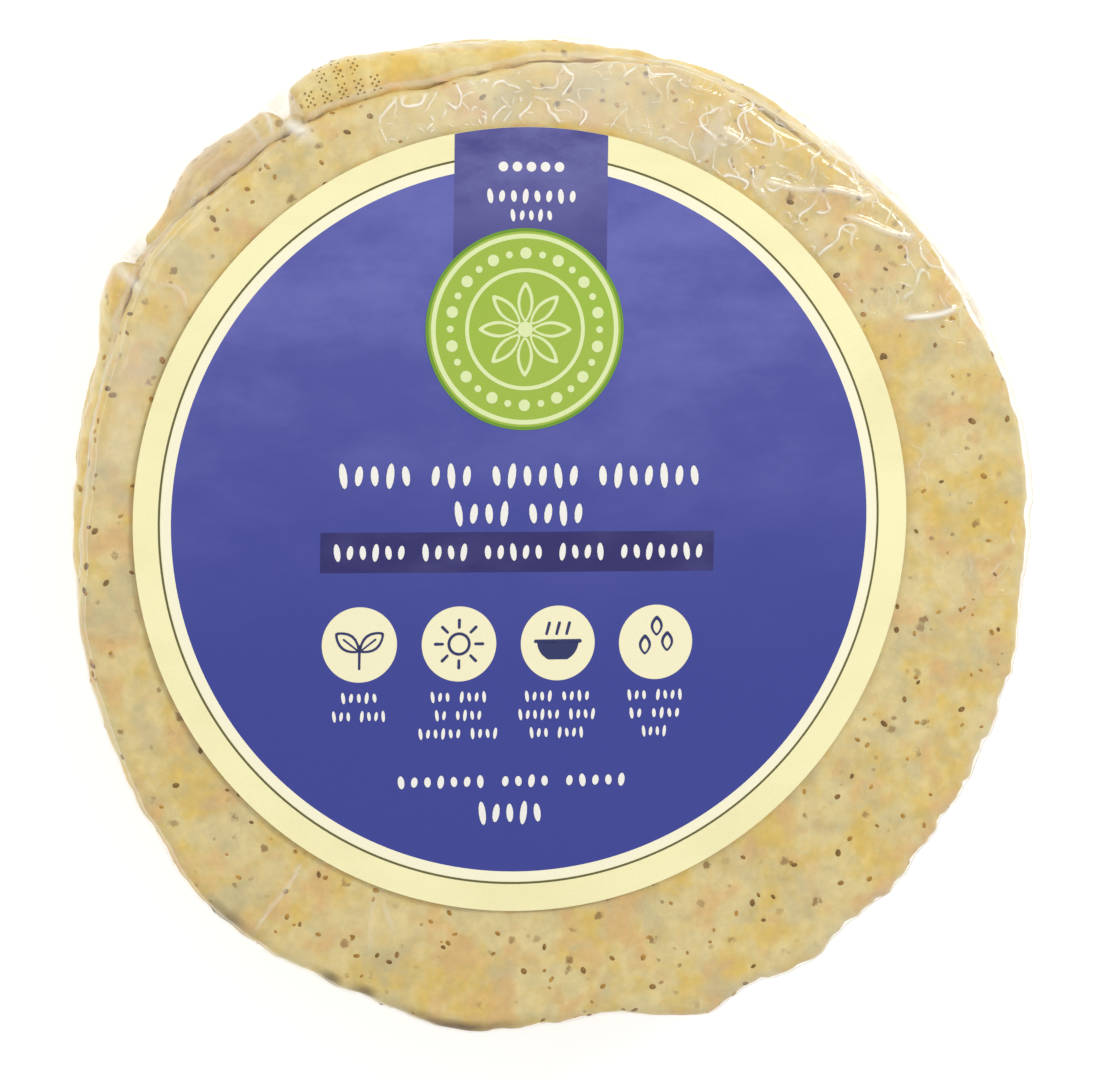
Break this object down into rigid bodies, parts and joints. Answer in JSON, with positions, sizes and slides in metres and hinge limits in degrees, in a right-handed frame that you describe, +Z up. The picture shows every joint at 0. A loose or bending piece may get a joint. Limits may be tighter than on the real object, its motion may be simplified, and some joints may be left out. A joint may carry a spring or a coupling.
{
  "type": "wrapped pack of rice arepas",
  "caption": "Flat round rice arepas stacked and sealed in tight clear film, with a round paper label stuck on the front.",
  "frame": {"origin": "middle of the pack's box, on the surface that the pack lies on", "axes": "+Z up, out of the labelled front; +Y towards the top of the label; +X to the label's right"},
  "size_m": [0.1262, 0.1282, 0.0294],
  "materials": {
    "film": "clear glossy shrink film, whitish along its creases",
    "label": "satin printed paper, cloudy violet blue with a cream border",
    "arepa": "moist pale yellow rice dough, mottled and speckled",
    "seed": "dark brown and reddish chia seeds",
    "ink": "thin dark print"
  },
  "bodies": {
    "root": {"arepa_pack": "film", "round_label": "label"}
  },
  "joints": []
}
